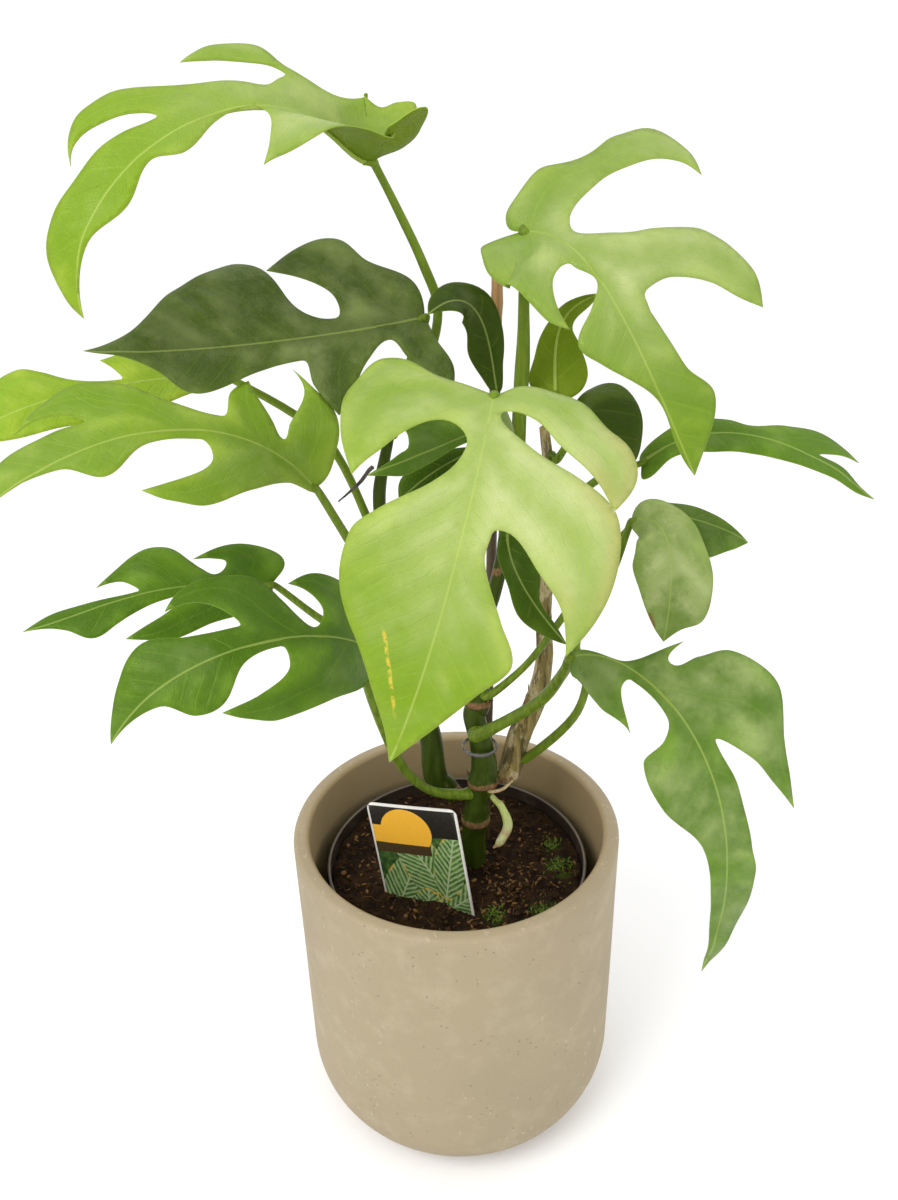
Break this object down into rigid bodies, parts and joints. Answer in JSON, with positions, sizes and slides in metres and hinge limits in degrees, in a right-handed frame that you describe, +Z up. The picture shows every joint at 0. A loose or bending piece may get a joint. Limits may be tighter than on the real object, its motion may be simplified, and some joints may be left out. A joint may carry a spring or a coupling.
{
  "type": "potted monstera plant",
  "caption": "Potted mini monstera: climbing stems with long-stalked, deeply lobed green leaves in a growing pot with soil and a label, inside a smooth cylindrical concrete cover pot.",
  "frame": {"origin": "centre of the cover pot's foot, on the surface it stands on", "axes": "+Z up; the plant's best side faces -Y and +X is to its right as seen from there"},
  "size_m": [0.4091, 0.2218, 0.5553],
  "materials": {
    "leaf": "satin waxy mid green",
    "leaf_young": "satin waxy pale yellow-green",
    "leaf_dark": "glossy dark green",
    "stalk": "smooth satin green",
    "green_stem": "smooth green with pale node scars",
    "woody_stem": "dry beige-brown",
    "concrete": "matt warm grey-beige concrete",
    "nursery_plastic": "matt dark brown",
    "soil": "loose dark peat and crumbs",
    "label_card": "printed semi-gloss plastic label",
    "cane": "dry bamboo",
    "clip_plastic": "clear milky plastic",
    "root": "dry brown",
    "shoot": "pale fresh green"
  },
  "bodies": {
    "root": {"aerial_root": "root", "cachepot": "concrete", "clip_ring": "clip_plastic", "leaf_back_right": "leaf_dark", "leaf_centre_back": "leaf", "leaf_centre_hook": "leaf_dark", "leaf_far_left": "leaf", "leaf_front": "leaf_young", "leaf_grey_right": "leaf", "leaf_hanging": "leaf_dark", "leaf_inner_dark": "leaf_dark", "leaf_inner_left": "leaf", "leaf_low_far_left": "leaf_dark", "leaf_lower_left": "leaf", "leaf_lower_right": "leaf", "leaf_middle_left": "leaf", "leaf_middle_right": "leaf", "leaf_round_right": "leaf_dark", "leaf_top_left": "leaf_young", "leaf_top_right": "leaf", "leaf_upper_left": "leaf_dark", "left_stem": "green_stem", "main_stem": "green_stem", "nursery_pot": "nursery_plastic", "plant_label": "label_card", "right_stem": "woody_stem", "small_root": "root", "soil": "soil", "stalk_back_right": "stalk", "stalk_centre_back": "stalk", "stalk_centre_hook": "stalk", "stalk_far_left": "stalk", "stalk_front": "stalk", "stalk_grey_right": "stalk", "stalk_hanging": "stalk", "stalk_inner_dark": "stalk", "stalk_inner_left": "stalk", "stalk_low_far_left": "stalk", "stalk_lower_left": "stalk", "stalk_lower_right": "stalk", "stalk_middle_left": "stalk", "stalk_middle_right": "stalk", "stalk_round_right": "stalk", "stalk_top_left": "stalk", "stalk_top_right": "stalk", "stalk_upper_left": "stalk", "support_cane": "cane", "young_shoot": "shoot"}
  },
  "joints": []
}
